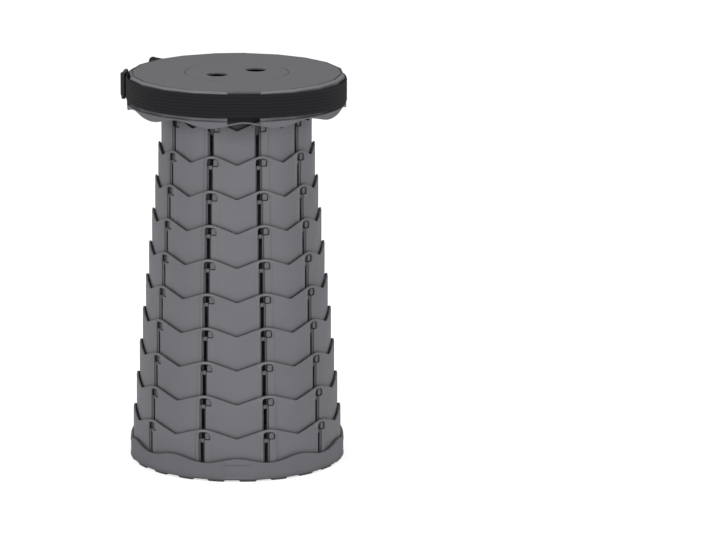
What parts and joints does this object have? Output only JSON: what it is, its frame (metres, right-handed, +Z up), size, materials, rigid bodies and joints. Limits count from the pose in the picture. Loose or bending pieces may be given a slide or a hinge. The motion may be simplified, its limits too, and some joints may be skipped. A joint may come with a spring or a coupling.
{
  "type": "collapsible telescopic stool",
  "caption": "Round stool of nested plastic rings that hang in each other by hooked slots and telescope down into a flat disc with a webbing carrying loop.",
  "frame": {"origin": "on the floor, on the stool's own vertical axis, under the middle of the base", "axes": "+Z up along the axis on which the rings telescope, -Y towards the front of the picture's view, +X to that view's right"},
  "size_m": [0.2586, 0.2873, 0.45],
  "materials": {
    "grey_plastic": "satin mid-grey moulded plastic",
    "base_plastic": "satin mid-grey moulded plastic, slightly darker",
    "webbing": "black ribbed webbing",
    "black_plastic": "black moulded plastic",
    "screw_steel": "plain steel"
  },
  "bodies": {
    "base": {"base_cover": "base_plastic", "ring_10": "grey_plastic"},
    "stage_09": {"ring_09": "grey_plastic"},
    "stage_08": {"ring_08": "grey_plastic"},
    "stage_07": {"ring_07": "grey_plastic"},
    "stage_06": {"ring_06": "grey_plastic"},
    "stage_05": {"ring_05": "grey_plastic"},
    "stage_04": {"ring_04": "grey_plastic"},
    "stage_03": {"ring_03": "grey_plastic"},
    "stage_02": {"ring_02": "grey_plastic"},
    "stage_01": {"ring_01": "grey_plastic"},
    "seat": {"seat_cover": "grey_plastic", "seat_skirt": "grey_plastic", "centre_disc": "grey_plastic", "seat_neck": "grey_plastic", "seat_screw_1": "screw_steel", "seat_screw_2": "screw_steel", "seat_screw_3": "screw_steel", "seat_screw_4": "screw_steel", "seat_screw_5": "screw_steel", "strap_band": "webbing", "strap_handle": "webbing", "strap_slider": "black_plastic"}
  },
  "joints": [
    {"name": "stage_09_slide", "type": "slide", "parent": "base", "child": "stage_09", "axis": [0, 0, -1], "range_m": [0, 0.0388]},
    {"name": "stage_08_slide", "type": "slide", "parent": "stage_09", "child": "stage_08", "axis": [0, 0, -1], "range_m": [0, 0.0388]},
    {"name": "stage_07_slide", "type": "slide", "parent": "stage_08", "child": "stage_07", "axis": [0, 0, -1], "range_m": [0, 0.0388]},
    {"name": "stage_06_slide", "type": "slide", "parent": "stage_07", "child": "stage_06", "axis": [0, 0, -1], "range_m": [0, 0.0388]},
    {"name": "stage_05_slide", "type": "slide", "parent": "stage_06", "child": "stage_05", "axis": [0, 0, -1], "range_m": [0, 0.0388]},
    {"name": "stage_04_slide", "type": "slide", "parent": "stage_05", "child": "stage_04", "axis": [0, 0, -1], "range_m": [0, 0.0388]},
    {"name": "stage_03_slide", "type": "slide", "parent": "stage_04", "child": "stage_03", "axis": [0, 0, -1], "range_m": [0, 0.0388]},
    {"name": "stage_02_slide", "type": "slide", "parent": "stage_03", "child": "stage_02", "axis": [0, 0, -1], "range_m": [0, 0.0388]},
    {"name": "stage_01_slide", "type": "slide", "parent": "stage_02", "child": "stage_01", "axis": [0, 0, -1], "range_m": [0, 0.0388]},
    {"name": "seat_slide", "type": "slide", "parent": "stage_01", "child": "seat", "axis": [0, 0, -1], "range_m": [0, 0.0388]}
  ]
}
